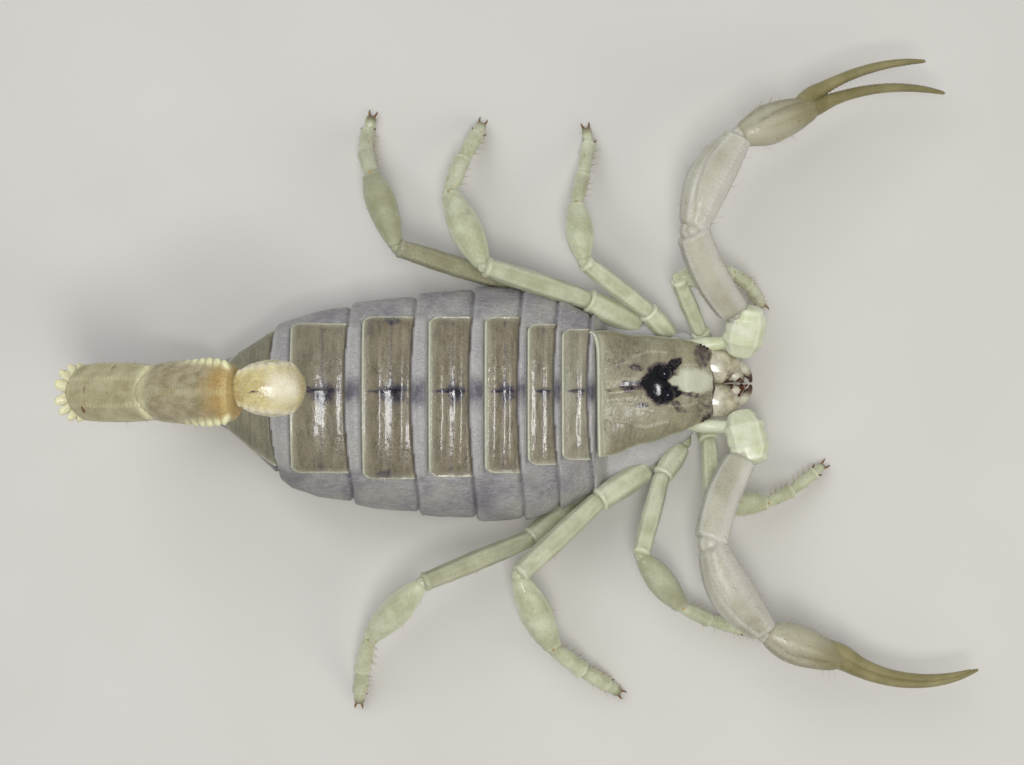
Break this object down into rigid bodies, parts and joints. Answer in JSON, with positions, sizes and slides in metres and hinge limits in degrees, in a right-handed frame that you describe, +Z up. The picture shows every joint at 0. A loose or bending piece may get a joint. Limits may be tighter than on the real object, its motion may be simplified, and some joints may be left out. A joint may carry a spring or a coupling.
{
  "type": "desert scorpion model",
  "caption": "Life-size still model of a desert scorpion, standing with spread legs and open pincers, its tail arched over its back.",
  "frame": {"origin": "On the floor under the middle of the model's box, level with the belly and the toes", "axes": "+X forwards past the head, +Y to the scorpion's left, +Z up"},
  "size_m": [0.0446, 0.0334, 0.0219],
  "materials": {
    "back_plate": "grey-brown cuticle with a low gloss, darker along the middle, pale at each plate's rear edge",
    "side_membrane": "soft grey membrane, finely wrinkled",
    "leg_cuticle": "pale greenish-yellow translucent cuticle",
    "arm_cuticle": "pale straw cuticle with granular edges",
    "hand_cuticle": "olive-brown smooth cuticle",
    "tail_cuticle": "straw-yellow granular cuticle",
    "sting_cuticle": "glossy straw-yellow cuticle with a dark point",
    "jaw_cuticle": "glossy straw cuticle with brown teeth",
    "eye_lens": "glossy black lens"
  },
  "bodies": {
    "root": {"arm_left_femur": "arm_cuticle", "arm_left_finger": "hand_cuticle", "arm_left_hand": "hand_cuticle", "arm_left_patella": "arm_cuticle", "arm_left_trochanter": "arm_cuticle", "arm_right_femur": "arm_cuticle", "arm_right_finger": "hand_cuticle", "arm_right_hand": "hand_cuticle", "arm_right_patella": "arm_cuticle", "arm_right_trochanter": "arm_cuticle", "carapace": "back_plate", "chelicera_left": "jaw_cuticle", "chelicera_right": "jaw_cuticle", "coxosternum": "side_membrane", "eye_left": "eye_lens", "eye_right": "eye_lens", "leg_left_1_foot": "leg_cuticle", "leg_left_1_patella": "leg_cuticle", "leg_left_1_thigh": "leg_cuticle", "leg_left_2_foot": "leg_cuticle", "leg_left_2_patella": "leg_cuticle", "leg_left_2_thigh": "leg_cuticle", "leg_left_3_foot": "leg_cuticle", "leg_left_3_patella": "leg_cuticle", "leg_left_3_thigh": "leg_cuticle", "leg_left_4_foot": "leg_cuticle", "leg_left_4_patella": "leg_cuticle", "leg_left_4_thigh": "leg_cuticle", "leg_right_1_foot": "leg_cuticle", "leg_right_1_patella": "leg_cuticle", "leg_right_1_thigh": "leg_cuticle", "leg_right_2_foot": "leg_cuticle", "leg_right_2_patella": "leg_cuticle", "leg_right_2_thigh": "leg_cuticle", "leg_right_3_foot": "leg_cuticle", "leg_right_3_patella": "leg_cuticle", "leg_right_3_thigh": "leg_cuticle", "leg_right_4_foot": "leg_cuticle", "leg_right_4_patella": "leg_cuticle", "leg_right_4_thigh": "leg_cuticle", "mesosoma_1": "back_plate", "mesosoma_2": "back_plate", "mesosoma_3": "back_plate", "mesosoma_4": "back_plate", "mesosoma_5": "back_plate", "mesosoma_6": "back_plate", "mesosoma_7": "back_plate", "metasoma_1": "tail_cuticle", "metasoma_2": "tail_cuticle", "metasoma_3": "tail_cuticle", "metasoma_4": "tail_cuticle", "metasoma_5": "tail_cuticle", "pectine_left": "leg_cuticle", "pectine_right": "leg_cuticle", "telson": "sting_cuticle"}
  },
  "joints": []
}
